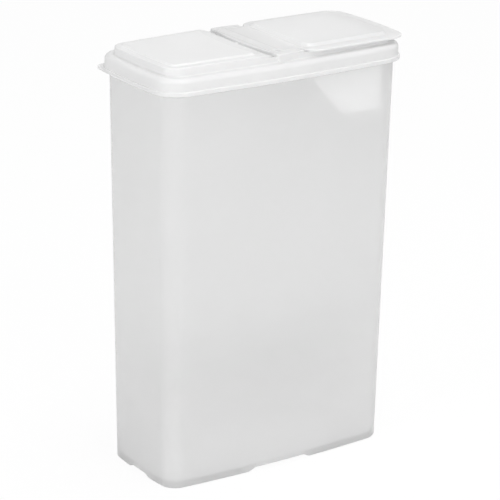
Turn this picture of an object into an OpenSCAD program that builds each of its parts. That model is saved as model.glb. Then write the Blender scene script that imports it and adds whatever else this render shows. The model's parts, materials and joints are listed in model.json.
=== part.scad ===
// Cereal container with a flip spout.
// A drafted tub stands on four corner feet and carries a lift-off lid.
// The lid's raised deck holds a flap that turns on two stub pins over a pour opening.
// X runs along the long side towards the spout, Y towards the back, Z up.
// Sizes are in millimetres, and the feet stand on z = 0 under the middle of the tub.

/* [Tub] */
// Length of the tub at its foot, corner to corner
tub_l = 180.6; // [160:0.1:220]
// Width of the tub at its foot, corner to corner
tub_w = 76.9; // [68:0.1:110]
// Height of the tub's rim
tub_h = 295; // [180:1:340]
// Draft of the tub's walls, in degrees
tub_draft = 0.8; // [0.3:0.1:1.6]
// Radius of the tub's upright corners at the foot
tub_base_r = 10.3; // [7:0.1:14]
// Radius of the tub's upright corners at the rim
tub_rim_r = 12.7; // [9:0.1:17]
// Wall of the tub
tub_wall = 1.6; // [1.2:0.1:2.4]
// Floor of the tub
floor_t = 1.8; // [1.2:0.1:3]
// Radius of the bottom edge
base_edge_r = 2.4; // [1:0.1:4]
// How far the long sides bow outwards at their middle
bow_side = 4; // [0:0.1:6]
// How far the ends bow outwards at their middle
bow_end = 2.4; // [0:0.1:4]
// Height of the rim bead
rim_h = 4.4; // [3:0.1:6]
// How far the rim bead stands out from the wall
rim_out = 0.8; // [0.4:0.1:1.2]

/* [Feet] */
// Height of the feet
foot_h = 2.6; // [1.5:0.1:4]
// Length of the gap between the feet along a long side, at the floor
foot_gap_l = 54; // [30:1:80]
// Length of the gap between the feet along an end, at the floor
foot_gap_w = 28; // [16:1:40]
// How far each foot's inner edge slopes back over its height
foot_slope = 7; // [2:0.5:10]

/* [Lid] */
// How far the lip overhangs the tub's wall
lip_out = 4.1; // [3.8:0.1:7]
// How far the lid comes down over the rim
lid_drop = 9.6; // [7.5:0.1:14]
// Height of the lip bead
lip_h = 3; // [2:0.1:4]
// How far the lip bead stands out from the skirt
lip_step = 1; // [0.5:0.1:2]
// Radius of the lip's corners
lip_r = 16; // [14:0.5:20]
// Thickness of the lid
lid_t = 1.8; // [1.2:0.1:2.4]
// Radius of the lid's shoulder
shoulder_r = 3.2; // [2:0.1:3.6]
// Clearance between the lid and the rim
lid_gap = 0.2; // [0.1:0.05:0.4]
// Depth of the seal rib inside the rim
seal_h = 4.2; // [2:0.1:6]
// Thickness of the seal rib
seal_t = 1.2; // [0.8:0.1:2]
// Thickness of the lift tab
tab_t = 2.2; // [1.5:0.1:3]
// Radius of the lift tab's tip
tab_r = 5; // [2:0.5:6]

/* [Deck] */
// How far the deck's ends stand in from the lip
deck_in_end = 6.8; // [6.2:0.1:9]
// How far the deck's sides stand in from the lip
deck_in_side = 8.4; // [7.6:0.1:12]
// Height of the deck over the shoulder
deck_h = 5.8; // [5:0.1:9]
// Radius of the deck's corners
deck_r = 9; // [8:0.5:12]
// Bow of the deck's long sides
deck_bow_side = 3; // [0:0.1:5]
// Bow of the deck's ends
deck_bow_end = 1.7; // [0:0.1:3]
// Radius of the deck's top edge
deck_edge_r = 1.1; // [0.5:0.1:1.6]
// How far the raised panel stands in from the deck's edge
panel_in = 5.2; // [4:0.1:9]
// Height of the raised panel
panel_h = 1.1; // [0.5:0.1:1.4]
// Width of the slope round the raised panel
panel_slope = 1.4; // [0.8:0.1:2.5]
// How far the deck dips between the panel and the flap
dip_h = 1.7; // [0.5:0.1:2]
// Width of the dip between the panel and the flap
dip_w = 11; // [8:0.5:14]
// How far the ledge under the flap lies below the deck's top
ledge_drop = 2.4; // [2:0.1:3]

/* [Hinge] */
// Where the hinge lies along X
hinge_x = -4; // [-12:0.5:4]
// How far the hinge's axis lies below the deck's top
hinge_drop = 3; // [2.8:0.1:3.4]
// Radius of the flap's barrel
barrel_r = 4.2; // [3.4:0.1:4.6]
// Radius of the stub pins
pin_r = 1.8; // [1.4:0.1:1.9]
// Length of the stub pins
pin_l = 3; // [2:0.1:3.4]
// Radial clearance of the pins in the ears
pin_gap = 0.06; // [0.03:0.01:0.1]
// How far the ears reach past the hinge, away from the spout
ear_start = 4.5; // [4:0.5:7]
// How far the ears reach past the hinge, towards the spout
ear_end = 18; // [8:0.5:18]
// How far the ears' tops lie below the deck's top
ear_drop = 0.4; // [0:0.1:0.4]
// How far the ears stand out from the deck's side
ear_out = 0.4; // [0.2:0.1:1]
// Radius of the ears' outer corners
ear_r = 2; // [1:0.5:3]
// Width of each ear, from its inner face to the deck's side
ear_w = 6.7; // [5:0.1:9]
// Clearance between the barrel and each ear
ear_gap = 0.4; // [0.2:0.1:0.8]
// Wall of the well under the hinge
well_t = 1.5; // [1:0.1:2]

/* [Flap] */
// Thickness of the flap
flap_t = 1.8; // [1.2:0.1:2.4]
// Gap between the flap and the ledge that it shuts on
flap_gap = 0.2; // [0.1:0.05:0.5]
// How far the flap overhangs the deck's sides
flap_out_side = 4.6; // [3:0.1:7]
// How far the flap's finger lip overhangs the deck's end
flap_out_end = 8.6; // [4:0.1:12]
// Bow of the flap's sides
flap_bow_side = 1.3; // [0:0.1:3]
// Bow of the flap's finger lip
flap_bow_end = 3.6; // [0:0.1:6]
// Radius of the flap's corners
flap_r = 12; // [8:0.5:18]
// Distance from the hinge to the flap's full plate
flap_start = 19; // [19:0.5:21]
// How far the flap's raised panel stands in from its sides
flap_panel_in = 7.4; // [6:0.1:12]
// How far the raised panel stands in from the finger lip
flap_panel_end = 11; // [8:0.1:16]
// Distance from the hinge to the raised panel
flap_panel_start = 22; // [22:0.5:30]
// Height of the flap's raised panel
flap_panel_h = 1.9; // [1:0.1:3]
// Width of the slope round the flap's panel
flap_panel_slope = 2.2; // [1:0.1:3]
// How far the flap's tail reaches past the hinge at its ends
tail_l = 3.4; // [3:0.1:5]
// How much further the tail reaches at its middle
tail_bow = 4.2; // [0:0.1:5]
// Gap between the tail and the deck
tail_gap = 1.2; // [0.5:0.1:1.5]
// Depth of the plug rim under the flap
plug_h = 4.6; // [2.5:0.1:6]
// Thickness of the plug rim
plug_t = 1.4; // [1:0.1:2]
// Clearance between the plug rim and the pour opening
plug_gap = 0.5; // [0.4:0.1:1]

/* [Pour opening] */
// Distance from the hinge to the opening
mouth_start = 12; // [10:0.5:20]
// How far the opening's end stands in from the deck's end
mouth_in_end = 6; // [5:0.1:12]
// How far the opening's sides stand in from the deck's sides
mouth_in_side = 3.6; // [3:0.1:10]
// Radius of the opening's corners
mouth_r = 6; // [4:0.5:8]
// Wall of the pour guide
guide_t = 1.4; // [1:0.1:2.4]
// How far the guide's walls stand back from the opening's edge
guide_back = 0.5; // [0:0.1:1]
// Depth of the pour guide under the lid
guide_h = 48; // [20:1:70]
// Length of the guide's lower edge
guide_l = 36.5; // [20:0.5:50]
// Angle of the guide's slanted edge from level
guide_angle = 46.5; // [40:0.1:70]
// Radius of the guide's lower corner
guide_r = 17; // [5:0.5:20]

/* [Hidden] */
// Segments of a corner's arc, and of a long side and an end
arc_n = 8;
side_n = 10;
end_n = 4;
// Share of a radius that an edge stands in by at the middle of its arc
mid_arc = 0.3;
// Overlap of fused shapes, and reach of a cut past a face
fuse = 0.4;
past = 1;
// Small edges: under the lip, along the lip's top, at the deck's foot, and along the flap
lip_edge = 0.6;
lip_top_edge = 0.8;
deck_foot = 0.6;
flap_edge = 0.7;
// How much the skirt narrows towards its shoulder, and the seal rib's clearance in the rim
skirt_taper = 0.2;
seal_gap = 0.3;
$fn = 64;

// Levels
rim_z = tub_h;
lip_z = rim_z - lid_drop;
seat_z = rim_z + lid_gap;
shoulder_z = seat_z + lid_t;
deck_z = shoulder_z + deck_h;
hinge_z = deck_z - hinge_drop;
ledge_z = deck_z - ledge_drop;
flap_z = ledge_z + flap_gap;

// Half lengths and half widths
grow = tan(tub_draft);
lip_a = tub_l / 2 + lip_z * grow + lip_out;
lip_b = tub_w / 2 + lip_z * grow + lip_out;
deck_a = lip_a - deck_in_end;
deck_b = lip_b - deck_in_side;
flap_a = deck_a + flap_out_end;
flap_b = deck_b + flap_out_side;
mouth_x0 = hinge_x + mouth_start;
mouth_x1 = deck_a - mouth_in_end;
mouth_b = deck_b - mouth_in_side;
ear_span = 2 * (deck_b + deck_bow_side - ear_w);
tail_x = hinge_x - tail_l;
well_r = norm([tail_l + tail_bow, flap_z + flap_t - hinge_z]) + tail_gap;
block_x = tail_x - tail_gap;
barrel_b = ear_span / 2 - ear_gap;

// Points round a rectangle with half sizes a and b, from x0 to x1, corners of radius r
function arc_points(cx, cy, r, start) =
    [for (i = [0:arc_n]) [cx + r * cos(start + 90 * i / arc_n), cy + r * sin(start + 90 * i / arc_n)]];
function side_points(p, q, n) = [for (i = [1:n - 1]) p + (q - p) * i / n];
function round_box(x0, x1, b, r) = concat(
    arc_points(x1 - r, r - b, r, -90),
    side_points([x1, r - b], [x1, b - r], end_n),
    arc_points(x1 - r, b - r, r, 0),
    side_points([x1 - r, b], [x0 + r, b], side_n),
    arc_points(x0 + r, b - r, r, 90),
    side_points([x0, b - r], [x0, r - b], end_n),
    arc_points(x0 + r, r - b, r, 180),
    side_points([x0 + r, -b], [x1 - r, -b], side_n));

// Bows the sides of an outline with half sizes a and b outwards
function bowed(p, a, b, side, end) = [
    p.x * (1 + end / a * (1 - pow(p.y / b, 2))),
    p.y * (1 + side / b * (1 - pow(p.x / a, 2)))];

// Outlines, each with how far it stands in from its own edge
function tub_outline(z, in) =
    let (a = tub_l / 2 + z * grow, b = tub_w / 2 + z * grow,
        r = tub_base_r + (tub_rim_r - tub_base_r) * z / tub_h)
    [for (p = round_box(in - a, a - in, b - in, r - in)) bowed(p, a - in, b - in, bow_side, bow_end)];
function lip_outline(in) =
    [for (p = round_box(in - lip_a, lip_a - in, lip_b - in, lip_r - in))
        bowed(p, lip_a - in, lip_b - in, bow_side, bow_end)];
function deck_outline(in) =
    [for (p = round_box(in - deck_a, deck_a - in, deck_b - in, deck_r - in))
        bowed(p, deck_a - in, deck_b - in, deck_bow_side, deck_bow_end)];

// Left part of the deck, whose right edge bows in to leave room for the flap's tail
function block_point(p, x1) =
    let (q = bowed(p, deck_a, deck_b, deck_bow_side, deck_bow_end), mid = (x1 - deck_a) / 2,
        share = max(0, (p.x - mid) / (x1 - mid)))
    [q.x - tail_bow * share * (1 - pow(p.y / deck_b, 2)), q.y];
function block_outline(in, right) =
    [for (p = round_box(in - deck_a, block_x - right, deck_b - in, max(2, deck_r - in)))
        block_point(p, block_x - right)];
function dip(x) = dip_h * max(0, min(1, 1 - (block_x - x) / dip_w));

// The flap's plate and panel, with how far each stands in from the flap's sides and its finger lip
function flap_outline(in, start, end) =
    [for (p = round_box(hinge_x + start, flap_a - end, flap_b - in, flap_r - min(in, flap_r / 2)))
        let (share = max(0, p.x / flap_a))
        [p.x + flap_bow_end * share * share * (1 - pow(p.y / flap_b, 2)),
            p.y * (1 + flap_bow_side / flap_b * (1 - pow(p.x / flap_a, 2)))]];

// A ring at one height, or following the deck's dip
function ring(outline, z) = [for (p = outline) [p.x, p.y, z]];
function dipped(outline, z) = [for (p = outline) [p.x, p.y, z - dip(p.x)]];

// A solid skinned over rings, capped at both ends, or joined from last to first as a loop
module loft(rings, loop = false) {
    n = len(rings[0]);
    k = len(rings);
    points = [for (ring = rings, p = ring) p];
    sides = [for (i = [0:loop ? k - 1 : k - 2], j = [0:n - 1])
        let (a = i * n + j, b = i * n + (j + 1) % n, c = ((i + 1) % k) * n + j,
            d = ((i + 1) % k) * n + (j + 1) % n)
        each [[a, c, d], [a, d, b]]];
    caps = loop ? [] : [[for (j = [0:n - 1]) j], [for (j = [n - 1:-1:0]) (k - 1) * n + j]];
    polyhedron(points = points, faces = concat(sides, caps), convexity = 8);
}

// The gap between two feet, a shallow arch along the whole of one direction
module foot_gap(l, reach) {
    rotate([90, 0, 0])
        linear_extrude(height = 2 * reach, center = true)
            polygon([[-l / 2 - foot_slope * past / foot_h, -past], [l / 2 + foot_slope * past / foot_h, -past],
                [l / 2 - foot_slope, foot_h], [foot_slope - l / 2, foot_h]]);
}

module tub() {
    inner_z = foot_h + floor_t;
    bead_z = rim_z - rim_h;
    color("lightblue", 0.5)
    difference() {
        loft([
            ring(tub_outline(0, base_edge_r), 0),
            ring(tub_outline(base_edge_r * mid_arc, base_edge_r * mid_arc), base_edge_r * mid_arc),
            ring(tub_outline(base_edge_r, 0), base_edge_r),
            ring(tub_outline(bead_z - rim_out, 0), bead_z - rim_out),
            ring(tub_outline(bead_z, -rim_out), bead_z),
            ring(tub_outline(rim_z - rim_out / 2, -rim_out), rim_z - rim_out / 2),
            ring(tub_outline(rim_z, -rim_out / 2), rim_z),
            ring(tub_outline(rim_z, tub_wall), rim_z),
            ring(tub_outline(inner_z + base_edge_r, tub_wall), inner_z + base_edge_r),
            ring(tub_outline(inner_z + base_edge_r * mid_arc, tub_wall + base_edge_r * mid_arc),
                inner_z + base_edge_r * mid_arc),
            ring(tub_outline(inner_z, tub_wall + base_edge_r), inner_z)]);
        foot_gap(foot_gap_l, tub_w);
        rotate([0, 0, 90]) foot_gap(foot_gap_w, tub_l);
    }
}

// Skirt, shoulder and deck wall, a ring that goes all round the rim
module lid_rim() {
    neck_in = lip_step + skirt_taper;
    inner_in = lip_out - rim_out - lid_gap;
    seal_in = tub_wall + seal_gap;
    loft([
        ring(lip_outline(lip_edge), lip_z),
        ring(lip_outline(0), lip_z + lip_edge),
        ring(lip_outline(0), lip_z + lip_h - lip_top_edge),
        ring(lip_outline(lip_step), lip_z + lip_h),
        ring(lip_outline(neck_in), shoulder_z - shoulder_r),
        ring(lip_outline(neck_in + shoulder_r * mid_arc), shoulder_z - shoulder_r * mid_arc),
        ring(lip_outline(neck_in + shoulder_r), shoulder_z),
        ring(deck_outline(-deck_foot), shoulder_z),
        ring(deck_outline(0), shoulder_z + deck_foot),
        ring(deck_outline(0), ledge_z),
        ring(deck_outline(lid_t), ledge_z),
        ring(deck_outline(lid_t), seat_z),
        ring(tub_outline(rim_z, seal_in + seal_t), seat_z),
        ring(tub_outline(rim_z, seal_in + seal_t), seat_z - seal_h),
        ring(tub_outline(rim_z, seal_in), seat_z - seal_h),
        ring(tub_outline(rim_z, seal_in), seat_z),
        ring(lip_outline(inner_in), seat_z),
        ring(lip_outline(inner_in), lip_z + lip_edge),
        ring(lip_outline(inner_in - lip_edge), lip_z)], true);
}

// Left part of the deck with its raised panel, hollow underneath
module lid_block() {
    loft([
        dipped(block_outline(panel_in, panel_in), deck_z - lid_t),
        dipped(block_outline(lid_t, lid_t), deck_z - lid_t),
        dipped(block_outline(lid_t, lid_t), ledge_z - fuse),
        dipped(block_outline(0, 0), ledge_z - fuse),
        dipped(block_outline(0, 0), deck_z - deck_edge_r),
        dipped(block_outline(deck_edge_r * mid_arc, deck_edge_r * mid_arc), deck_z - deck_edge_r * mid_arc),
        dipped(block_outline(deck_edge_r, deck_edge_r), deck_z),
        dipped(block_outline(panel_in, dip_w), deck_z),
        ring(block_outline(panel_in + panel_slope, dip_w + panel_slope), deck_z + panel_h)]);
}

// Plate under the flap, with the pour opening through it
module lid_ledge() {
    translate([0, 0, ledge_z - lid_t])
        linear_extrude(height = lid_t)
            difference() {
                intersection() {
                    polygon(deck_outline(lid_t - fuse));
                    translate([hinge_x, -lip_b]) square([2 * lip_a, 2 * lip_b]);
                }
                polygon(round_box(mouth_x0, mouth_x1, mouth_b, mouth_r));
            }
}

// Half-round well that the flap's tail swings down into
module lid_well() {
    difference() {
        across(well_r + well_t, ear_span + 2 * well_t);
        translate([hinge_x, 0, ledge_z + well_r]) cube([4 * well_r, 2 * lip_b, 2 * well_r], center = true);
    }
}

// A cylinder along the hinge's axis
module across(r, l) {
    translate([hinge_x, 0, hinge_z])
        rotate([90, 0, 0])
            cylinder(r = r, h = l, center = true);
}

// Ear at the back that holds one of the flap's pins, from y0 to a little proud of the deck's side
function ear_outline(in, y0) =
    let (x0 = hinge_x - ear_start + in, x1 = hinge_x + ear_end - in, y1 = deck_b + deck_bow_side - in)
    concat(
        [[x0, y0], [x1, y0], [x1, y1 - lid_t / 2], [hinge_x + ear_start, y1 + ear_out]],
        arc_points(x0 + ear_r, y1 + ear_out - ear_r, ear_r, 90));
module lid_ear() {
    inner_y = ear_span / 2;
    wall_y = deck_b + deck_bow_side - lid_t;
    top_z = deck_z - ear_drop;
    loft([
        ring(ear_outline(0, inner_y), ledge_z - lid_t),
        ring(ear_outline(0, inner_y), top_z - deck_edge_r),
        ring(ear_outline(deck_edge_r * mid_arc, inner_y), top_z - deck_edge_r * mid_arc),
        ring(ear_outline(deck_edge_r, inner_y), top_z)]);
    loft([
        ring(ear_outline(0, wall_y), shoulder_z - fuse),
        ring(ear_outline(0, wall_y), ledge_z)]);
}

// Lift tab, where one of the lip's corners runs out to a point
module lid_tab() {
    translate([0, 0, lip_z])
        linear_extrude(height = tab_t)
            difference() {
                intersection() {
                    polygon([for (p = round_box(-lip_a, lip_a, lip_b, tab_r))
                        bowed(p, lip_a, lip_b, bow_side, bow_end)]);
                    translate([-2 * lip_a, lip_b - 2 * lip_r]) square([lip_a + 2 * lip_r, 4 * lip_r]);
                }
                polygon(lip_outline(lip_step));
            }
}

module lid() {
    color("azure", 0.6)
    difference() {
        union() {
            lid_rim();
            lid_block();
            lid_ledge();
            lid_well();
            lid_ear();
            mirror([0, 1, 0]) lid_ear();
            lid_tab();
        }
        across(well_r, ear_span);
        across(pin_r + pin_gap, 2 * (barrel_b + pin_l + ear_gap));
    }
}

// A wall round three sides of the opening, cut off along a slanted and rounded lower edge
module pour_guide() {
    low_z = ledge_z - lid_t - guide_h;
    end_x = mouth_x1 + guide_back + guide_t;
    wall_b = mouth_b + guide_back + guide_t;
    corner_x = end_x - guide_l;
    turn_x = corner_x + guide_r * tan(guide_angle / 2);
    color("azure", 0.6)
    intersection() {
        translate([0, 0, low_z])
            linear_extrude(height = guide_h)
                difference() {
                    polygon(round_box(0, end_x, wall_b, mouth_r + guide_back + guide_t));
                    polygon(round_box(-lip_a, end_x - guide_t, wall_b - guide_t, mouth_r + guide_back));
                }
        rotate([90, 0, 0])
            linear_extrude(height = 2 * lip_b, center = true)
                polygon(concat(
                    [[mouth_x0, ledge_z], [mouth_x0, low_z + (corner_x - mouth_x0) * tan(guide_angle)]],
                    [for (i = [0:end_n]) let (turn = guide_angle * (1 - i / end_n))
                        [turn_x - guide_r * sin(turn), low_z + guide_r * (1 - cos(turn))]],
                    [[end_x + past, low_z], [end_x + past, ledge_z]]));
    }
}

// Flat plate that joins the barrel to the flap and runs past it as the tail
module flap_web() {
    end_x = hinge_x + flap_panel_start;
    translate([0, 0, flap_z])
        linear_extrude(height = flap_t)
            polygon(concat(
                [[end_x, -barrel_b], [end_x, barrel_b]],
                [for (i = [side_n:-1:-side_n]) let (y = barrel_b * i / side_n)
                    [tail_x - tail_bow * (1 - pow(y / deck_b, 2)), y]]));
}

// Full plate with its raised panel, hollow underneath
module flap_plate() {
    top_z = flap_z + flap_t;
    top_in = flap_panel_in + flap_panel_slope;
    top_end = flap_panel_end + flap_panel_slope;
    top_start = flap_panel_start + flap_panel_slope;
    mid = flap_edge * mid_arc;
    loft([
        ring(flap_outline(top_in, top_start, top_end), flap_z + flap_panel_h),
        ring(flap_outline(flap_panel_in, flap_panel_start, flap_panel_end), flap_z),
        ring(flap_outline(mid, flap_start + mid, mid), flap_z),
        ring(flap_outline(0, flap_start, 0), flap_z + mid),
        ring(flap_outline(0, flap_start, 0), top_z - flap_edge),
        ring(flap_outline(mid, flap_start + mid, mid), top_z - mid),
        ring(flap_outline(flap_edge, flap_start + flap_edge, flap_edge), top_z),
        ring(flap_outline(flap_panel_in, flap_panel_start, flap_panel_end), top_z),
        ring(flap_outline(top_in, top_start, top_end), top_z + flap_panel_h)]);
}

// Rim under the flap that plugs the pour opening, cut off along the underside of the flap
module flap_plug() {
    x0 = mouth_x0 + plug_gap;
    x1 = mouth_x1 - plug_gap;
    b = mouth_b - plug_gap;
    r = mouth_r - plug_gap;
    low_z = flap_z - plug_h;
    step_x = hinge_x + flap_panel_start;
    intersection() {
        translate([0, 0, low_z])
            linear_extrude(height = 2 * plug_h)
                difference() {
                    polygon(round_box(x0, x1, b, r));
                    polygon(round_box(x0 + plug_t, x1 - plug_t, b - plug_t, r - plug_t));
                }
        rotate([90, 0, 0])
            linear_extrude(height = 2 * lip_b, center = true)
                polygon([[x0 - past, low_z], [x1 + past, low_z], [x1 + past, flap_z + flap_panel_h + fuse],
                    [step_x + flap_panel_slope, flap_z + flap_panel_h + fuse], [step_x, flap_z + fuse],
                    [x0 - past, flap_z + fuse]]);
    }
}

module flap() {
    color("azure", 0.6)
    union() {
        flap_plate();
        flap_web();
        flap_plug();
        across(barrel_r, 2 * barrel_b);
        across(pin_r, 2 * (barrel_b + pin_l));
    }
}

tub();
lid();
pour_guide();
flap();
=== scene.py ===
# %% [markdown]
# A dry-food container with a flip spout: a tall tub of milky polypropylene, a lid that lifts off,
# a pour guide that hangs under the lid, and a flap that turns on two stub pins.
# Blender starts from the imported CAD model, which fixes every place and size.
# Each moulding is made again here with finer rounding and with the plastic's own look.

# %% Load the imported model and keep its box
import json
import math

import bmesh
import bpy
import numpy as np
from mathutils import Matrix, Vector

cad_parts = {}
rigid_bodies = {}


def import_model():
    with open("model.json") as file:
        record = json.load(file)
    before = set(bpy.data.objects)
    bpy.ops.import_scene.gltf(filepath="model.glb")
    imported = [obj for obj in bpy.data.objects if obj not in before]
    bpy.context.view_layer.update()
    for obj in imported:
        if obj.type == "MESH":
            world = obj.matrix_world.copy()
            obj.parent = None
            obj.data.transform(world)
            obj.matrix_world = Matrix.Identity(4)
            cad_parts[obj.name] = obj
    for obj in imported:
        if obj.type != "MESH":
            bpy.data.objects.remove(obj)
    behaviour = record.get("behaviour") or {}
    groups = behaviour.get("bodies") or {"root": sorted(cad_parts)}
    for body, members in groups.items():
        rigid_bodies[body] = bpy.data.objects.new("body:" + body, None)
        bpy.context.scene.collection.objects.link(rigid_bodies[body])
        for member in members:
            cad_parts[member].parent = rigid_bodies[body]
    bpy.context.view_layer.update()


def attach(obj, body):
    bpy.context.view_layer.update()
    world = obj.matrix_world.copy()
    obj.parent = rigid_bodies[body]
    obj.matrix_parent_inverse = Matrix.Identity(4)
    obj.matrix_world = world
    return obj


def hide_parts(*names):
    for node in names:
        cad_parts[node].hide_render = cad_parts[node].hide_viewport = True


for left_over in list(bpy.data.objects):
    bpy.data.objects.remove(left_over)
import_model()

# %% [markdown]
# The camera stands where the photograph was taken, a little above the lid and off the front-left corner.
# A long lens far away keeps the upright edges nearly parallel, as a studio photographer would.
# The small shift puts the object exactly where it sits in the square frame.

# %% Place the camera
camera_right = Vector((0.82884988, -0.55927064, 0.01497408))
camera_up = Vector((0.17457485, 0.28396631, 0.94280791))
camera_forward = Vector((0.53153692, 0.77883213, -0.33300003))
camera_eye = Vector((-0.93420228, -1.36883576, 0.73526394))
camera_data = bpy.data.cameras.new("camera")
camera_data.sensor_width = 36
camera_data.lens = 179.373
camera_data.shift_x = -0.000215
camera_data.shift_y = -0.00157
camera_data.clip_end = 50
camera = bpy.data.objects.new("camera", camera_data)
axes = Matrix((camera_right, camera_up, -camera_forward)).transposed().to_4x4()
camera.matrix_world = Matrix.Translation(camera_eye) @ axes
bpy.context.scene.collection.objects.link(camera)
bpy.context.scene.camera = camera
print("camera at", [round(x, 3) for x in camera_eye])

# %% [markdown]
# Everything below is written in millimetres, as a moulder's drawing is, and turned into metres in one place.
# The values are the same as in the CAD source, so a finer surface lies where the plain one lies.

# %% Sizes of the tub
MM = 0.001
tub_l, tub_w, tub_h = 180.6, 76.9, 295.0
tub_draft = math.tan(math.radians(0.8))
tub_base_r, tub_rim_r, tub_wall = 10.3, 12.7, 1.6
floor_t, base_edge_r = 1.8, 2.4
bow_side, bow_end = 4.0, 2.4
rim_h, rim_out = 4.4, 0.8
foot_h, foot_gap_l, foot_gap_w, foot_slope = 2.6, 54.0, 28.0, 7.0
print("tub rim", round(tub_l + 2 * tub_h * tub_draft, 1), "x", round(tub_w + 2 * tub_h * tub_draft, 1), "mm")

# %% Sizes of the lid, the flap and the pour guide
lip_out, lid_drop, lip_h, lip_step, lip_r, lid_t = 4.1, 9.6, 3.0, 1.0, 16.0, 1.8
shoulder_r, lid_gap, seal_h, seal_t, tab_t, tab_r = 3.2, 0.2, 4.2, 1.2, 2.2, 5.0
deck_in_end, deck_in_side, deck_h, deck_r = 6.8, 8.4, 5.8, 9.0
deck_bow_side, deck_bow_end, deck_edge_r = 3.0, 1.7, 1.1
panel_in, panel_h, panel_slope, dip_h, dip_w, ledge_drop = 5.2, 1.1, 1.4, 1.7, 11.0, 2.4
hinge_x, hinge_drop, barrel_r, pin_r, pin_l, pin_gap = -4.0, 3.0, 4.2, 1.8, 3.0, 0.06
ear_start, ear_end, ear_drop, ear_out, ear_r, ear_w = 4.5, 18.0, 0.4, 0.7, 1.6, 6.7
ear_gap, well_t = 0.4, 1.5
flap_t, flap_gap, flap_out_side, flap_out_end = 1.8, 0.2, 4.6, 8.6
flap_bow_side, flap_bow_end, flap_r, flap_start = 1.3, 3.6, 12.0, 19.0
flap_panel_in, flap_panel_end, flap_panel_start = 7.4, 11.0, 22.0
flap_panel_h, flap_panel_slope, tail_l, tail_bow, tail_gap = 1.9, 2.2, 3.4, 4.2, 1.2
plug_h, plug_t, plug_gap = 4.6, 1.4, 0.5
mouth_start, mouth_in_end, mouth_in_side, mouth_r = 12.0, 6.0, 3.6, 6.0
guide_t, guide_back, guide_h, guide_l, guide_angle, guide_r = 1.4, 0.5, 48.0, 36.5, 46.5, 17.0

# %% Levels and half sizes that follow from them
rim_z = tub_h
lip_z = rim_z - lid_drop
seat_z = rim_z + lid_gap
shoulder_z = seat_z + lid_t
deck_z = shoulder_z + deck_h
hinge_z = deck_z - hinge_drop
ledge_z = deck_z - ledge_drop
flap_z = ledge_z + flap_gap
lip_a = tub_l / 2 + lip_z * tub_draft + lip_out
lip_b = tub_w / 2 + lip_z * tub_draft + lip_out
deck_a, deck_b = lip_a - deck_in_end, lip_b - deck_in_side
flap_a, flap_b = deck_a + flap_out_end, deck_b + flap_out_side
mouth_x0, mouth_x1, mouth_b = hinge_x + mouth_start, deck_a - mouth_in_end, deck_b - mouth_in_side
ear_span = 2 * (deck_b + deck_bow_side - ear_w)
tail_x = hinge_x - tail_l
well_r = math.hypot(tail_l + tail_bow, flap_z + flap_t - hinge_z) + tail_gap
block_x = tail_x - tail_gap
barrel_b = ear_span / 2 - ear_gap
print("deck at", round(deck_z, 1), "mm, hinge at", round(hinge_z, 1), "mm")

# %% [markdown]
# A moulded edge is never sharp: the steel that shapes it is cut with a round tool.
# Each ring of a moulding is therefore listed with the radius of its edge.
# The helper below turns a corner between three rings into an exact arc, and adds a guard ring on each side of it,
# so that smooth shading stays on the arc and the flat faces stay flat.

# %% Round the corners of a list of rings
def rounded(rings, radii, steps=6, loop=False, guard=0.2):
    out, last = [], len(rings) - 1
    for i, (corner, radius) in enumerate(zip(rings, radii)):
        if radius == 0 or (not loop and i in (0, last)):
            out.append(corner)
            continue
        back, ahead = rings[i - 1] - corner, rings[(i + 1) % len(rings)] - corner
        back_l = np.linalg.norm(back, axis=1, keepdims=True)
        ahead_l = np.linalg.norm(ahead, axis=1, keepdims=True)
        back, ahead = back / back_l, ahead / ahead_l
        half = np.arccos(np.clip((back * ahead).sum(1, keepdims=True), -1, 1)) / 2
        reach = np.minimum(radius / np.tan(half), 0.6 * np.minimum(back_l, ahead_l))
        weight = np.sin(half)
        start, end = corner + back * reach, corner + ahead * reach
        out.append(corner + back * reach * (1 + guard))
        for t in np.linspace(0, 1, steps + 1):
            share = (1 - t) ** 2 + 2 * t * (1 - t) * weight + t ** 2
            out.append(((1 - t) ** 2 * start + 2 * t * (1 - t) * weight * corner + t ** 2 * end) / share)
        out.append(corner + ahead * reach * (1 + guard))
    return out

# %% Turn rings into a closed mesh whose faces look outwards
def tidy_mesh(mesh):
    work = bmesh.new()
    work.from_mesh(mesh)
    bmesh.ops.remove_doubles(work, verts=work.verts, dist=1e-7)
    bmesh.ops.dissolve_degenerate(work, edges=work.edges, dist=1e-7)
    bmesh.ops.recalc_face_normals(work, faces=work.faces)
    if work.calc_volume(signed=True) < 0:
        bmesh.ops.reverse_faces(work, faces=work.faces)
    open_edges = sum(not e.is_manifold for e in work.edges)
    work.to_mesh(mesh)
    work.free()
    return open_edges


def solid(name, rings, loop=False):
    n, k = len(rings[0]), len(rings)
    faces = []
    for i in range(k if loop else k - 1):
        a, c = i * n, (i + 1) % k * n
        faces += [(a + j, a + (j + 1) % n, c + (j + 1) % n, c + j) for j in range(n)]
    if not loop:
        faces += [tuple(range(n)), tuple((k - 1) * n + j for j in range(n))]
    mesh = bpy.data.meshes.new(name)
    mesh.from_pydata((np.vstack(rings) * MM).tolist(), [], faces)
    tidy_mesh(mesh)
    made = bpy.data.objects.new(name, mesh)
    bpy.context.scene.collection.objects.link(made)
    return made

# %% Join solids, or cut one with another
def combine(base, others, operation):
    for other in others:
        step = base.modifiers.new(operation, "BOOLEAN")
        step.operation = operation
        step.solver = "EXACT"
        step.object = other
    graph = bpy.context.evaluated_depsgraph_get()
    result = bpy.data.meshes.new_from_object(base.evaluated_get(graph))
    base.modifiers.clear()
    base.data = result
    for other in others:
        bpy.data.objects.remove(other)
    return base


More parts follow.
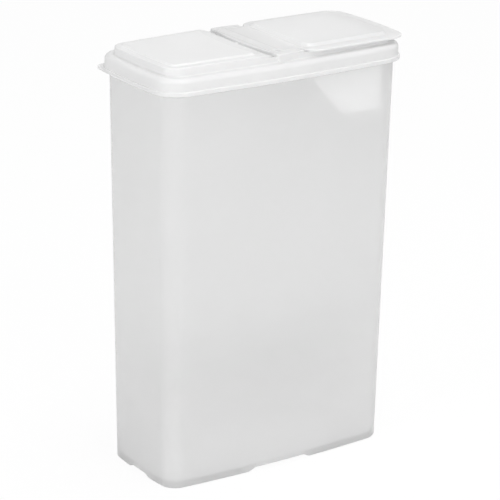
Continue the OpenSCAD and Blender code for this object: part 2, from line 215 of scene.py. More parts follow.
def finish_mesh(piece, angle=32):
    open_edges = tidy_mesh(piece.data)
    piece.data.shade_smooth()
    piece.data.set_sharp_from_angle(angle=math.radians(angle))
    corners = [Vector(c) for c in piece.bound_box]
    print(piece.name, len(piece.data.vertices), "points,", open_edges, "open edges, height",
          round((max(c.z for c in corners) - min(c.z for c in corners)) * 1000, 1), "mm")
    return piece

# %% [markdown]
# The outlines: a rectangle with round corners whose sides bow outwards.
# A large flat wall of thin plastic looks dented as it cools, so moulders bow it slightly.

# %% Outlines of the tub, the lip and the deck
def arc(cx, cy, r, start, n=14):
    angle = np.radians(start + 90 * np.arange(n + 1) / n)
    return np.column_stack([cx + r * np.cos(angle), cy + r * np.sin(angle)])


def run(p, q, n):
    return np.array(p) + (np.array(q) - np.array(p)) * (np.arange(1, n) / n)[:, None]


def box_outline(x0, x1, b, r, side_n=44, end_n=14):
    return np.vstack([
        arc(x1 - r, r - b, r, -90), run((x1, r - b), (x1, b - r), end_n),
        arc(x1 - r, b - r, r, 0), run((x1 - r, b), (x0 + r, b), side_n),
        arc(x0 + r, b - r, r, 90), run((x0, b - r), (x0, r - b), end_n),
        arc(x0 + r, r - b, r, 180), run((x0 + r, -b), (x1 - r, -b), side_n)])


def bowed(p, a, b, side, end):
    x, y = p[:, 0], p[:, 1]
    return np.column_stack([x * (1 + end / a * (1 - (y / b) ** 2)), y * (1 + side / b * (1 - (x / a) ** 2))])


def tub_outline(z, inset):
    a, b = tub_l / 2 + z * tub_draft - inset, tub_w / 2 + z * tub_draft - inset
    r = tub_base_r + (tub_rim_r - tub_base_r) * z / tub_h - inset
    return bowed(box_outline(-a, a, b, r), a, b, bow_side, bow_end)


def lip_outline(inset, r=lip_r):
    a, b = lip_a - inset, lip_b - inset
    return bowed(box_outline(-a, a, b, r - inset), a, b, bow_side, bow_end)


def deck_outline(inset):
    a, b = deck_a - inset, deck_b - inset
    return bowed(box_outline(-a, a, b, deck_r - inset), a, b, deck_bow_side, deck_bow_end)


def level(outline, z):
    return np.column_stack([outline, np.full(len(outline), z)])

# %% [markdown]
# The lid's left part is a raised block whose right edge bows in to make room for the flap's tail.
# It dips towards the hinge, which gives a finger room to tip the flap.

# %% Outline and dip of the raised block
def block_outline(inset, right):
    x1 = block_x - right
    p = box_outline(inset - deck_a, x1, deck_b - inset, max(2, deck_r - inset))
    q = bowed(p, deck_a, deck_b, deck_bow_side, deck_bow_end)
    middle = (x1 - deck_a) / 2
    share = np.maximum(0, (p[:, 0] - middle) / (x1 - middle))
    return np.column_stack([q[:, 0] - tail_bow * share * (1 - (p[:, 1] / deck_b) ** 2), q[:, 1]])


def dipped(outline, z):
    s = np.clip(1 - (block_x - outline[:, 0]) / dip_w, 0, 1)
    return np.column_stack([outline, z - dip_h * s * s * (3 - 2 * s)])


def rod(name, radius, length, edge=0.0):
    angle = np.radians(np.arange(0, 360, 3.75))
    half = length / 2
    stations = [(-half, radius - edge), (edge - half, radius), (half - edge, radius), (half, radius - edge)]
    if edge == 0:
        stations = [(-half, radius), (half, radius)]
    rings = [np.column_stack([hinge_x + r * np.cos(angle), np.full(len(angle), y), hinge_z + r * np.sin(angle)])
             for y, r in stations]
    return solid(name, rings)


def slab(name, x0, x1, y0, y1, z0, z1):
    square = np.array([[x0, y0], [x1, y0], [x1, y1], [x0, y1]], float)
    return solid(name, [level(square, z0), level(square, z1)])


def prism_across(name, points, reach):
    p = np.array(points, float)
    return solid(name, [np.column_stack([p[:, 0], np.full(len(p), y), p[:, 1]]) for y in (-reach, reach)])

# %% [markdown]
# The lid: one moulding of many walls. Its skirt, shoulder and deck wall are one ring of rings that closes on itself,
# so the hollow under the rim is real. The block, the plate under the flap, the well, the ears and the lift tab
# are joined to it, and the well and the pin holes are cut out at the end.

# %% Lid rim
neck_in = lip_step + 0.2
inner_in = lip_out - rim_out - lid_gap
seal_in = tub_wall + 0.3
lid_profile = [
    (lip_outline(0), lip_z, 0.6), (lip_outline(0), lip_z + lip_h, 1.2),
    (lip_outline(lip_step), lip_z + lip_h, 0.2), (lip_outline(neck_in), shoulder_z, shoulder_r),
    (deck_outline(0), shoulder_z, 0.7), (deck_outline(0), ledge_z, 0.25),
    (deck_outline(lid_t), ledge_z, 0), (deck_outline(lid_t), seat_z, 0),
    (tub_outline(rim_z, seal_in + seal_t), seat_z, 0), (tub_outline(rim_z, seal_in + seal_t), seat_z - seal_h, 0.4),
    (tub_outline(rim_z, seal_in), seat_z - seal_h, 0.4), (tub_outline(rim_z, seal_in), seat_z, 0),
    (lip_outline(inner_in), seat_z, 0.5), (lip_outline(inner_in), lip_z, 0.5)]
lid = solid("lid_shell", rounded([level(o, z) for o, z, r in lid_profile], [r for o, z, r in lid_profile], loop=True), loop=True)

# %% Raised block, plate under the flap and well
hair = 0.03
block_profile = [
    (block_outline(panel_in, panel_in), deck_z - lid_t, 0), (block_outline(lid_t, lid_t), deck_z - lid_t, 0),
    (block_outline(lid_t, lid_t), ledge_z - 0.4, 0), (block_outline(hair, hair), ledge_z - 0.4, 0),
    (block_outline(hair, hair), deck_z, deck_edge_r), (block_outline(panel_in, dip_w), deck_z, 0.8)]
block_rings = [dipped(o, z) for o, z, r in block_profile]
block_rings.append(level(block_outline(panel_in + panel_slope, dip_w + panel_slope), deck_z + panel_h))
block_rings.append(level(block_outline(panel_in + 9, dip_w + 9), deck_z + panel_h))
block = solid("block", rounded(block_rings, [r for o, z, r in block_profile] + [1.2, 0]))
ledge_outer = deck_outline(lid_t - 0.4)
ledge_outer[:, 0] = np.maximum(ledge_outer[:, 0], hinge_x)
ledge = solid("ledge", [level(ledge_outer, ledge_z - lid_t), level(ledge_outer, ledge_z)])
mouth = solid("mouth", [level(box_outline(mouth_x0, mouth_x1, mouth_b, mouth_r), z) for z in (ledge_z - 9, ledge_z + 9)])
ledge = combine(ledge, [mouth], "DIFFERENCE")
well = combine(rod("well", well_r + well_t, ear_span + 2 * well_t),
               [slab("over", -60, 60, -60, 60, ledge_z, ledge_z + 40)], "DIFFERENCE")
print("well radius", round(well_r, 2), "mm")

# %% Ears and lift tab
def ear_outline(inset, y0):
    x0, x1 = hinge_x - ear_start + inset, hinge_x + ear_end - inset
    y1 = deck_b + deck_bow_side - inset
    return np.vstack([[[x0, y0], [x1, y0], [x1, y1 - lid_t / 2], [hinge_x + ear_start, y1 + ear_out]],
                      arc(x0 + ear_r, y1 + ear_out - ear_r, ear_r, 90)])


def ears(side):
    inner_y, wall_y, top = ear_span / 2, deck_b + deck_bow_side - lid_t, deck_z - ear_drop
    upper = rounded([level(ear_outline(0, inner_y), ledge_z - lid_t), level(ear_outline(0, inner_y), top),
                     level(ear_outline(3, inner_y + 1), top)], [0, 1.0, 0])
    lower = [level(ear_outline(0, wall_y), shoulder_z - 0.4), level(ear_outline(0, wall_y), ledge_z)]
    turn = np.array([1, side, 1])
    return [solid("ear_top", [r * turn for r in upper]), solid("ear_foot", [r * turn for r in lower])]


tab_ring = bowed(box_outline(-lip_a + hair, lip_a - hair, lip_b - hair, tab_r), lip_a, lip_b, bow_side, bow_end)
tab_inner = bowed(box_outline(-lip_a + 1, lip_a - 1, lip_b - 1, tab_r - 1), lip_a, lip_b, bow_side, bow_end)
tab = solid("tab", rounded([level(tab_inner, lip_z), level(tab_ring, lip_z), level(tab_ring, lip_z + tab_t),
                            level(tab_inner, lip_z + tab_t)], [0, 0.5, 0.7, 0]))
tab = combine(tab, [slab("corner", -2 * lip_a, 2 * lip_r - lip_a, lip_b - 2 * lip_r, lip_b + 40, 200, 320)], "INTERSECT")
tab = combine(tab, [solid("inside", [level(lip_outline(lip_step), z) for z in (200, 320)])], "DIFFERENCE")

# %% Join the lid and cut the well and the pin holes
gate_x = -14.3
gate_top = dipped(np.array([[gate_x, 0.0]]), deck_z)[0, 2] + 0.2
gate_turn = np.radians(np.arange(0, 360, 10))
gate_ring = np.column_stack([np.cos(gate_turn), np.sin(gate_turn)])
gate = solid("gate", rounded([level(gate_ring * r + [gate_x, 0], z) for r, z in
                              ((1.3, gate_top - 0.7), (1.3, gate_top), (0.4, gate_top))], [0, 0.15, 0]))
lid = combine(lid, [block, ledge, well, tab, gate, *ears(1), *ears(-1)], "UNION")
lid = combine(lid, [rod("well_cut", well_r, ear_span), rod("pin_cut", pin_r + pin_gap, 2 * (barrel_b + pin_l + ear_gap))],
              "DIFFERENCE")
finish_mesh(lid)

# %% [markdown]
# The pour guide: a wall round three sides of the opening that steers the cereal out through it.
# It is made as the real one is drawn, a U-shaped wall cut off along a slanted line with a round lower corner.

# %% Pour guide
low_z = ledge_z - lid_t - guide_h
guide_x, guide_b = mouth_x1 + guide_back + guide_t, mouth_b + guide_back + guide_t
corner_x = guide_x - guide_l
turn_x = corner_x + guide_r * math.tan(math.radians(guide_angle) / 2)
outer_wall = box_outline(0, guide_x, guide_b, mouth_r + guide_back + guide_t)
inner_wall = box_outline(-lip_a, guide_x - guide_t, guide_b - guide_t, mouth_r + guide_back)
guide = solid("pour_guide_shell", [level(outer_wall, z) for z in (low_z, ledge_z - lid_t)])
guide = combine(guide, [solid("guide_inside", [level(inner_wall, z) for z in (low_z - 1, ledge_z)])], "DIFFERENCE")
turns = np.radians(guide_angle) * (1 - np.arange(13) / 12)
side_shape = [(mouth_x0, ledge_z), (mouth_x0, low_z + (corner_x - mouth_x0) * math.tan(math.radians(guide_angle)))]
side_shape += [(turn_x - guide_r * math.sin(t), low_z + guide_r * (1 - math.cos(t))) for t in turns]
side_shape += [(guide_x + 1, low_z), (guide_x + 1, ledge_z)]
guide = combine(guide, [prism_across("guide_side", side_shape, 2 * lip_b)], "INTERSECT")
finish_mesh(guide)

# %% [markdown]
# The flap: a plate with a raised panel, a web that joins it to the hinge barrel and runs past it as a tail,
# a rim underneath that plugs the opening, and two stub pins. The shapes are joined into one moulding.

# %% Flap plate
def flap_outline(inset, start, end):
    p = box_outline(hinge_x + start, flap_a - end, flap_b - inset, flap_r - min(inset, flap_r / 2))
    x, y = p[:, 0], p[:, 1]
    share = np.maximum(0, x / flap_a)
    return np.column_stack([x + flap_bow_end * share ** 2 * (1 - (y / flap_b) ** 2),
                            y * (1 + flap_bow_side / flap_b * (1 - (x / flap_a) ** 2))])


def drooping(outline, z):
    foot_x = flap_a - flap_panel_end
    share = np.clip((outline[:, 0] - foot_x) / (flap_a + flap_bow_end - foot_x), 0, 1)
    side = np.clip((np.abs(outline[:, 1]) - flap_b + flap_panel_in) / flap_panel_in, 0, 1)
    return np.column_stack([outline, z - 1.0 * share ** 1.5 - 0.3 * side ** 2])


top_z = flap_z + flap_t
slope = flap_panel_slope
panel_foot = flap_outline(flap_panel_in, flap_panel_start, flap_panel_end)
panel_top = flap_outline(flap_panel_in + slope, flap_panel_start + slope, flap_panel_end + slope)
panel_flat = flap_outline(flap_panel_in + 8, flap_panel_start + 8, flap_panel_end + 8)
plate_profile = [
    (panel_flat, flap_z + flap_panel_h, 0), (panel_top, flap_z + flap_panel_h, 0), (panel_foot, flap_z, 0),
    (flap_outline(0, flap_start, 0), flap_z, 0.6), (flap_outline(0, flap_start, 0), top_z, 0.8),
    (panel_foot, top_z, 0.9), (panel_top, top_z + flap_panel_h, 1.6), (panel_flat, top_z + flap_panel_h, 0)]
plate_rings = [drooping(o, z) if i in (3, 4) else level(o, z) for i, (o, z, r) in enumerate(plate_profile)]
flap = solid("flap_shell", rounded(plate_rings, [r for o, z, r in plate_profile]))

# %% Web with the tail, plug rim, barrel and pins
def web_outline(inset):
    y = (barrel_b - inset) * np.linspace(1, -1, 61)
    tail = np.column_stack([tail_x + inset - tail_bow * (1 - (y / deck_b) ** 2), y])
    end_x = hinge_x + flap_panel_start - 0.6
    return np.vstack([[[end_x, inset - barrel_b], [end_x, barrel_b - inset]], tail])


web_low, web_top = flap_z + hair, top_z - hair
web = solid("web", rounded([level(web_outline(1.5), web_low), level(web_outline(0), web_low), level(web_outline(0), web_top),
                            level(web_outline(1.5), web_top)], [0, 0.5, 0.7, 0]))
plug_x0, plug_x1, plug_b, plug_r = mouth_x0 + plug_gap, mouth_x1 - plug_gap, mouth_b - plug_gap, mouth_r - plug_gap
plug_z = flap_z - plug_h
plug_in = box_outline(plug_x0 + plug_t, plug_x1 - plug_t, plug_b - plug_t, plug_r - plug_t)
plug_out = box_outline(plug_x0, plug_x1, plug_b, plug_r)
plug = solid("plug", rounded([level(plug_in, flap_z + 5), level(plug_in, plug_z), level(plug_out, plug_z),
                              level(plug_out, flap_z + 5)], [0, 0.3, 0.5, 0], loop=True), loop=True)
step_x = hinge_x + flap_panel_start
under = [(plug_x0 - 1, plug_z - 1), (plug_x1 + 1, plug_z - 1), (plug_x1 + 1, flap_z + flap_panel_h + 0.4),
         (step_x + slope, flap_z + flap_panel_h + 0.4), (step_x, flap_z + 0.4), (plug_x0 - 1, flap_z + 0.4)]
plug = combine(plug, [prism_across("under", under, 2 * lip_b)], "INTERSECT")
flap = combine(flap, [web, plug, rod("barrel", barrel_r, 2 * barrel_b, 0.3), rod("pins", pin_r, 2 * (barrel_b + pin_l), 0.3)],
               "UNION")
finish_mesh(flap)

# %% [markdown]
# The tub is one wall whose shape follows a rule: at each height its outline lies between the outline at the foot
# and the one at the rim. Geometry Nodes say that rule once. A grid is laid along the wall's section and round
# the outline, and each of its points is sent to its place, with the arches between the feet pressed in from below.
# The section itself is a short line of points, each holding how far in it lies, how far it is drawn to the middle,
# and its height.

# %% Section of the tub's wall, from the middle of the underside to the middle of the floor
bead_z, inner_z = rim_z - rim_h, foot_h + floor_t
middle_shares = np.linspace(0, 1, 26)[:-1]
wall_section = [(base_edge_r + 1, 0, 0), (0, 0, base_edge_r), (0, bead_z - rim_out, 1.5), (-rim_out, bead_z, 0.6),
                (-rim_out, rim_z, 0.6), (tub_wall, rim_z, 0.4), (tub_wall, inner_z, base_edge_r),
                (tub_wall + base_edge_r + 1, inner_z, 0)]
section = rounded([np.array([[inset, z]], float) for inset, z, r in wall_section], [r for *_, r in wall_section])
section = [(float(p[0, 0]), 1.0, float(p[0, 1])) for p in section]
section = [(section[0][0], k, 0.0) for k in middle_shares] + section
section += [(section[-1][0], k, inner_z) for k in middle_shares[::-1]]
long_wall = [i for i in range(1, len(section)) if abs(section[i][2] - section[i - 1][2]) > 100]
for i in reversed(long_wall):
    p, q = np.array(section[i - 1]), np.array(section[i])
    section[i:i] = [tuple(p + (q - p) * t) for t in np.arange(1, 10) / 10]
print("wall section has", len(section), "points")

# %% Small helpers for node trees
def put(tree, socket, value):
    if isinstance(value, bpy.types.NodeSocket):
        tree.links.new(value, socket)
    else:
        socket.default_value = value


def maths(tree, operation, *values):
    made = tree.nodes.new("ShaderNodeMath")
    made.operation = operation
    for socket, value in zip(made.inputs, values):
        put(tree, socket, value)
    return made.outputs[0]


def vectors(tree, operation, *values):
    made = tree.nodes.new("ShaderNodeVectorMath")
    made.operation = operation
    sockets = [made.inputs[0], made.inputs["Scale"]] if operation == "SCALE" else made.inputs
    for socket, value in zip(sockets, values):
        put(tree, socket, value)
    return made.outputs[0]


def place(tree, kind, settings=(), **values):
    made = tree.nodes.new(kind)
    for name, value in dict(settings).items():
        setattr(made, name, value)
    for name, value in values.items():
        put(tree, made.inputs[name.replace("_", " ")], value)
    return made

# %% Tree of the tub: its inputs and its two outlines
tub_tree = bpy.data.node_groups.new("tub_wall", "GeometryNodeTree")
tub_tree.interface.new_socket(name="Geometry", in_out="OUTPUT", socket_type="NodeSocketGeometry")
tub_tree.interface.new_socket(name="Geometry", in_out="INPUT", socket_type="NodeSocketGeometry")
tub_sizes = {
    "Foot length": tub_l, "Foot width": tub_w, "Foot corner": tub_base_r,
    "Rim length": tub_l + 2 * tub_h * tub_draft, "Rim width": tub_w + 2 * tub_h * tub_draft, "Rim corner": tub_rim_r,
    "Side bow": bow_side, "End bow": bow_end, "Height": tub_h, "Gap length": foot_gap_l, "Gap width": foot_gap_w,
    "Gap slope": foot_slope, "Foot height": foot_h, "Floor level": inner_z}
for name in tub_sizes:
    tub_tree.interface.new_socket(name=name, in_out="INPUT", socket_type="NodeSocketFloat")
tub_tree.interface.new_socket(name="Points round", in_out="INPUT", socket_type="NodeSocketInt")
tub_tree.interface.new_socket(name="Material", in_out="INPUT", socket_type="NodeSocketMaterial")
given = tub_tree.nodes.new("NodeGroupInput").outputs


def bowed_curve(length, width, corner):
    box = place(tub_tree, "GeometryNodeCurvePrimitiveQuadrilateral", {"mode": "RECTANGLE"}, Width=length, Height=width)
    fillet = place(tub_tree, "GeometryNodeFilletCurve", {"mode": "POLY"}, Curve=box.outputs[0], Radius=corner, Count=24)
    even = place(tub_tree, "GeometryNodeResampleCurve", {"mode": "COUNT"}, Curve=fillet.outputs[0], Count=given["Points round"])
    position = tub_tree.nodes.new("GeometryNodeInputPosition").outputs[0]
    parts = place(tub_tree, "ShaderNodeSeparateXYZ", Vector=position).outputs
    half_a, half_b = maths(tub_tree, "DIVIDE", length, 2.0), maths(tub_tree, "DIVIDE", width, 2.0)

    def swollen(along, across, half_along, half_across, bow):
        share = maths(tub_tree, "SUBTRACT", 1.0, maths(tub_tree, "POWER", maths(tub_tree, "ABSOLUTE", maths(tub_tree, "DIVIDE", across, half_across)), 2.0))
        grown = maths(tub_tree, "MULTIPLY", maths(tub_tree, "DIVIDE", bow, half_along), share)
        return maths(tub_tree, "MULTIPLY", along, maths(tub_tree, "ADD", 1.0, grown))

    x = swollen(parts["X"], parts["Y"], half_a, half_b, given["End bow"])
    y = swollen(parts["Y"], parts["X"], half_b, half_a, given["Side bow"])
    moved = place(tub_tree, "ShaderNodeCombineXYZ", X=x, Y=y)
    return place(tub_tree, "GeometryNodeSetPosition", Geometry=even.outputs[0], Position=moved.outputs[0]).outputs[0]


foot_curve = bowed_curve(given["Foot length"], given["Foot width"], given["Foot corner"])
rim_curve = bowed_curve(given["Rim length"], given["Rim width"], given["Rim corner"])

# %% Tree of the tub: a grid sent to the wall
rows = place(tub_tree, "GeometryNodeAttributeDomainSize", {"component": "MESH"}, Geometry=given["Geometry"]).outputs["Point Count"]
columns = maths(tub_tree, "ADD", given["Points round"], 1.0)
grid = place(tub_tree, "GeometryNodeMeshGrid", Size_X=1.0, Size_Y=1.0, Vertices_X=columns, Vertices_Y=rows)
grid_at = place(tub_tree, "ShaderNodeSeparateXYZ", Vector=tub_tree.nodes.new("GeometryNodeInputPosition").outputs[0]).outputs
turn = maths(tub_tree, "ADD", grid_at["X"], 0.5)
row_share = maths(tub_tree, "ADD", grid_at["Y"], 0.5)
row = place(tub_tree, "FunctionNodeFloatToInt", {"rounding_mode": "ROUND"},
            Float=maths(tub_tree, "MULTIPLY", row_share, maths(tub_tree, "SUBTRACT", rows, 1.0))).outputs[0]
sampled = place(tub_tree, "GeometryNodeSampleIndex", {"data_type": "FLOAT_VECTOR", "domain": "POINT"}, Geometry=given["Geometry"],
                Value=tub_tree.nodes.new("GeometryNodeInputPosition").outputs[0], Index=row).outputs[0]
section_at = place(tub_tree, "ShaderNodeSeparateXYZ", Vector=sampled).outputs
inset, middle_share, height = section_at["X"], section_at["Y"], section_at["Z"]
up_share = maths(tub_tree, "DIVIDE", height, given["Height"])
down_share = maths(tub_tree, "SUBTRACT", 1.0, up_share)


def between(foot_value, rim_value):
    return vectors(tub_tree, "ADD", vectors(tub_tree, "SCALE", foot_value, down_share),
                   vectors(tub_tree, "SCALE", rim_value, up_share))


foot_at = place(tub_tree, "GeometryNodeSampleCurve", {"mode": "FACTOR"}, Curves=foot_curve, Factor=turn).outputs
rim_at = place(tub_tree, "GeometryNodeSampleCurve", {"mode": "FACTOR"}, Curves=rim_curve, Factor=turn).outputs
along = between(foot_at["Tangent"], rim_at["Tangent"])
outwards = vectors(tub_tree, "NORMALIZE", vectors(tub_tree, "CROSS_PRODUCT", along, (0, 0, 1)))
wall_at = vectors(tub_tree, "SUBTRACT", between(foot_at["Position"], rim_at["Position"]), vectors(tub_tree, "SCALE", outwards, inset))
wall_xy = place(tub_tree, "ShaderNodeSeparateXYZ", Vector=vectors(tub_tree, "SCALE", wall_at, middle_share)).outputs

# %% Tree of the tub: the arches between the feet, and the end of the tree
def arch_share(across, gap):
    room = maths(tub_tree, "SUBTRACT", maths(tub_tree, "DIVIDE", gap, 2.0), maths(tub_tree, "ABSOLUTE", across))
    return place(tub_tree, "ShaderNodeMapRange", {"interpolation_type": "SMOOTHSTEP"},
                 Value=maths(tub_tree, "DIVIDE", room, given["Gap slope"])).outputs[0]


arch = maths(tub_tree, "MULTIPLY", given["Foot height"],
             maths(tub_tree, "MAXIMUM", arch_share(wall_xy["X"], given["Gap length"]), arch_share(wall_xy["Y"], given["Gap width"])))
low_share = maths(tub_tree, "MAXIMUM", 0.0, maths(tub_tree, "SUBTRACT", 1.0, maths(tub_tree, "DIVIDE", height, given["Floor level"])))
raised = maths(tub_tree, "ADD", height, maths(tub_tree, "MULTIPLY", arch, low_share))
sent = place(tub_tree, "ShaderNodeCombineXYZ", X=wall_xy["X"], Y=wall_xy["Y"], Z=raised)
shaped = place(tub_tree, "GeometryNodeSetPosition", Geometry=grid.outputs["Mesh"], Position=sent.outputs[0]).outputs[0]
closed = place(tub_tree, "GeometryNodeMergeByDistance", Geometry=shaped, Distance=2e-6).outputs[0]
smooth = place(tub_tree, "GeometryNodeSetShadeSmooth", Geometry=closed).outputs[0]
real = place(tub_tree, "GeometryNodeRealizeInstances", Geometry=smooth).outputs[0]
painted = place(tub_tree, "GeometryNodeSetMaterial", Geometry=real, Material=given["Material"]).outputs[0]
tub_tree.links.new(painted, tub_tree.nodes.new("NodeGroupOutput").inputs[0])
print("tub tree has", len(tub_tree.nodes), "nodes")

# %% [markdown]
# The plastics. Both are polypropylene, which is milky because tiny crystals scatter the light.
# The tub is thin and lets much light through, so each of its faces is partly clear; the lid holds more white pigment.
# Real walls are never one colour: flow and cooling leave faint clouds, and the steel's fine texture breaks up the gloss.
# Noise laid in the object's own coordinates gives both, so they stay put when the lid lifts or the flap turns. The base
# colour is also painted darker towards the bottom of the tub: painted shade for the dimmer light low down.

# %% Milky plastic
def milky_plastic(name, pale, low_shade_and_cloud_tone, clear, clear_low, through, rough, cloud_scale, centre):
    made = bpy.data.materials.new(name)
    made.use_nodes = True
    tree = made.node_tree
    shader = tree.nodes["Principled BSDF"]
    coordinates = tree.nodes.new("ShaderNodeTexCoord").outputs["Object"]
    mapping = place(tree, "ShaderNodeMapping", Vector=coordinates)
    mapping.inputs["Location"].default_value = [-c for c in centre]
    at = mapping.outputs[0]
    cloud = place(tree, "ShaderNodeTexNoise", Vector=at, Scale=cloud_scale, Detail=3.0, Roughness=0.5).outputs[0]
    grain = place(tree, "ShaderNodeTexNoise", Vector=at, Scale=900.0, Detail=2.0, Roughness=0.6).outputs[0]
    height = place(tree, "ShaderNodeSeparateXYZ", Vector=coordinates).outputs["Z"]
    # Painted shade: the base colour darkens over the lowest 13 cm, standing in for the dimmer light near the floor. The
    # dark end of the ramp serves both this shade and the clouds.
    painted_shade_by_height = place(tree, "ShaderNodeMapRange", {"interpolation_type": "SMOOTHSTEP"}, Value=height, From_Min=-0.02, From_Max=0.13,
                       To_Min=-0.15, To_Max=0.45).outputs[0]
    ramp = place(tree, "ShaderNodeValToRGB", Fac=maths(tree, "ADD", painted_shade_by_height, maths(tree, "MULTIPLY", cloud, 0.6)))
    ramp.color_ramp.elements[0].position, ramp.color_ramp.elements[0].color = 0.15, (*low_shade_and_cloud_tone, 1)
    ramp.color_ramp.elements[1].position, ramp.color_ramp.elements[1].color = 0.85, (*pale, 1)
    tree.links.new(ramp.outputs[0], shader.inputs["Base Color"])
    gloss = place(tree, "ShaderNodeMapRange", Value=grain, From_Min=0.3, From_Max=0.7, To_Min=rough - 0.05, To_Max=rough + 0.05)
    tree.links.new(gloss.outputs[0], shader.inputs["Roughness"])
    bump = place(tree, "ShaderNodeBump", Height=grain, Strength=0.03, Distance=0.0002)
    tree.links.new(bump.outputs[0], shader.inputs["Normal"])
    shader.inputs["IOR"].default_value = 1.49
    lit_through = place(tree, "ShaderNodeBsdfTranslucent", Color=ramp.outputs[0])
    wall = place(tree, "ShaderNodeMixShader", Fac=through)
    tree.links.new(shader.outputs[0], wall.inputs[1])
    tree.links.new(lit_through.outputs[0], wall.inputs[2])
    thin = place(tree, "ShaderNodeMapRange", {"interpolation_type": "SMOOTHSTEP"}, Value=height, From_Min=0.003, From_Max=0.11,
                 To_Min=clear_low, To_Max=clear).outputs[0]
    edge_on = place(tree, "ShaderNodeLayerWeight", Blend=0.2).outputs["Facing"]
    straight = maths(tree, "SUBTRACT", 1.0, maths(tree, "POWER", edge_on, 2.0))
    open_share = place(tree, "ShaderNodeMixShader", Fac=maths(tree, "MULTIPLY", thin, straight))
    tree.links.new(wall.outputs[0], open_share.inputs[1])
    tree.links.new(tree.nodes.new("ShaderNodeBsdfTransparent").outputs[0], open_share.inputs[2])
    tree.links.new(open_share.outputs[0], tree.nodes["Material Output"].inputs["Surface"])
    print(name, "clear share", clear, "lit-through share", through, "roughness", rough)
    return made


tub_plastic = milky_plastic("milky_tub_plastic", (0.975, 0.975, 0.975), (0.93, 0.93, 0.93), 0.66, 0.2, 0.42, 0.42, 14.0, (0, 0, 0.15))
lid_plastic = milky_plastic("milky_lid_plastic", (0.965, 0.965, 0.965), (0.92, 0.92, 0.92), 0.12, 0.12, 0.4, 0.17, 22.0, (0, 0, 0.3))
# The guide is moulded in the lid's plastic. This copy is painted a little whiter and made opaque so the guide shows
# lighter through the tub wall: painted brightness for the light it catches through the flap.
guide_brightened_plastic = milky_plastic("milky_guide_painted_bright", (0.98, 0.98, 0.98), (0.97, 0.97, 0.97), 0.0, 0.0, 0.0, 0.3, 22.0, (0, 0, 0.3))

# %% Run the tub's tree and keep its result as a plain mesh
section_mesh = bpy.data.meshes.new("tub_section")
section_mesh.from_pydata([(s * MM, k, z * MM) for s, k, z in section], [(i, i + 1) for i in range(len(section) - 1)], [])
tub = bpy.data.objects.new("tub_shell", section_mesh)
bpy.context.scene.collection.objects.link(tub)
wall_step = tub.modifiers.new("tub_wall", "NODES")
wall_step.node_group = tub_tree
for item in tub_tree.interface.items_tree:
    if item.in_out == "INPUT" and item.name in tub_sizes:
        wall_step[item.identifier] = tub_sizes[item.name] * MM
    elif item.in_out == "INPUT" and item.name == "Points round":
        wall_step[item.identifier] = 480
    elif item.in_out == "INPUT" and item.name == "Material":
        wall_step[item.identifier] = tub_plastic
tub_mesh = bpy.data.meshes.new_from_object(tub.evaluated_get(bpy.context.evaluated_depsgraph_get()))
tub.modifiers.clear()
tub.data = tub_mesh
finish_mesh(tub)

# %% Give each piece its plastic and its body
lid.data.materials.clear()
for piece, body, node, plastic, slot in (
        (tub, "tub", "tub", tub_plastic, "tub_plastic"), (lid, "lid", "lid", lid_plastic, "lid_plastic"),
        (guide, "lid", "pour_guide", guide_brightened_plastic, "lid_plastic"), (flap, "flap", "flap", lid_plastic, "lid_plastic")):
    piece.data.materials.clear()
    piece.data.materials.append(plastic)
    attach(piece, body)
    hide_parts(node)
    print(piece.name, "rides on", body)

# %% [markdown]
# A plain studio: a pale floor, an even world and a few large soft lamps.
# The background is white because the world and the floor show white to the camera, not because of more light.
# Behind the milky plastic they show what the lamps leave on them: a white that was never in the studio
# would otherwise shine through the tub and hide the guide.

# %% Floor and world
floor_mesh = bpy.data.meshes.new("floor")
floor_mesh.from_pydata([(-6, -6, 0), (6, -6, 0), (6, 6, 0), (-6, 6, 0)], [], [(0, 1, 2, 3)])
floor = bpy.data.objects.new("floor", floor_mesh)
bpy.context.scene.collection.objects.link(floor)


def seen_directly(tree):
    path = tree.nodes.new("ShaderNodeLightPath").outputs
    shown = maths(tree, "MAXIMUM", path["Is Camera Ray"], path["Is Glossy Ray"])
    straight_through = maths(tree, "SUBTRACT", path["Is Transmission Ray"], path["Is Diffuse Ray"])
    shown = maths(tree, "MAXIMUM", shown, straight_through)
    behind_plastic = maths(tree, "GREATER_THAN", path["Transparent Depth"], 0.5)
    return maths(tree, "MULTIPLY", shown, maths(tree, "SUBTRACT", 1.0, maths(tree, "MULTIPLY", behind_plastic, 0.9)))


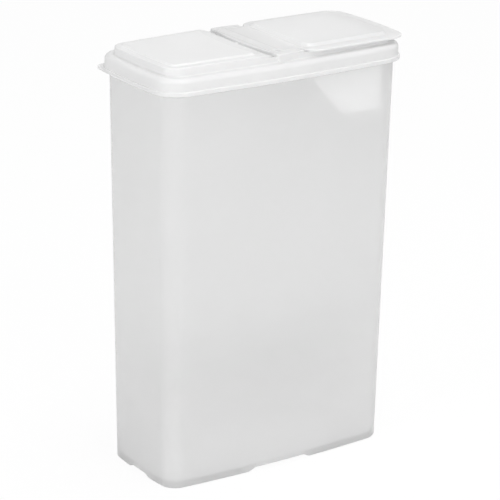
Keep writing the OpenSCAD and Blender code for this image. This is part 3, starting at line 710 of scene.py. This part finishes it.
floor_paint = bpy.data.materials.new("floor_paint")
floor_paint.use_nodes = True
tree = floor_paint.node_tree
tone = place(tree, "ShaderNodeMapRange", Value=seen_directly(tree), To_Min=0.7, To_Max=1.0).outputs[0]
tree.links.new(tone, tree.nodes["Principled BSDF"].inputs["Base Color"])
tree.nodes["Principled BSDF"].inputs["Roughness"].default_value = 0.9
tree.nodes["Principled BSDF"].inputs["Specular IOR Level"].default_value = 0.0
white = place(tree, "ShaderNodeEmission", Color=(1, 1, 1, 1), Strength=1.0)
shade = maths(tree, "MULTIPLY", seen_directly(tree), 0.94)
mixed = tree.nodes.new("ShaderNodeMixShader")
tree.links.new(shade, mixed.inputs[0])
tree.links.new(tree.nodes["Principled BSDF"].outputs[0], mixed.inputs[1])
tree.links.new(white.outputs[0], mixed.inputs[2])
tree.links.new(mixed.outputs[0], tree.nodes["Material Output"].inputs["Surface"])
floor.data.materials.append(floor_paint)
world = bpy.data.worlds.new("studio")
bpy.context.scene.world = world
world.use_nodes = True
tree = world.node_tree
for node in list(tree.nodes):
    tree.nodes.remove(node)
ambient = place(tree, "ShaderNodeBackground", Color=(1, 1, 1, 1), Strength=0.4)
backdrop = place(tree, "ShaderNodeBackground", Color=(1, 1, 1, 1), Strength=1.0)
mixed = tree.nodes.new("ShaderNodeMixShader")
tree.links.new(seen_directly(tree), mixed.inputs[0])
tree.links.new(ambient.outputs[0], mixed.inputs[1])
tree.links.new(backdrop.outputs[0], mixed.inputs[2])
tree.links.new(mixed.outputs[0], tree.nodes.new("ShaderNodeOutputWorld").inputs[0])

# %% Lamps
def softbox(name, at, size, power, aim=(0, 0, 0.16)):
    data = bpy.data.lights.new(name, "AREA")
    data.shape, data.size, data.energy = "SQUARE", size, power
    lamp = bpy.data.objects.new(name, data)
    lamp.location = at
    lamp.rotation_euler = (Vector(aim) - Vector(at)).to_track_quat("-Z", "Y").to_euler()
    bpy.context.scene.collection.objects.link(lamp)
    print(name, "at", at, power, "W")


softbox("top_softbox", (0.3, -0.2, 2.2), 1.0, 20)
softbox("front_softbox", (0.1, -2.5, 1.0), 1.6, 28)
softbox("left_softbox", (-2.4, -0.5, 0.8), 1.2, 25)
softbox("back_softbox", (0.4, 2.4, 1.2), 1.6, 2)
bpy.context.scene.view_settings.view_transform = "Standard"
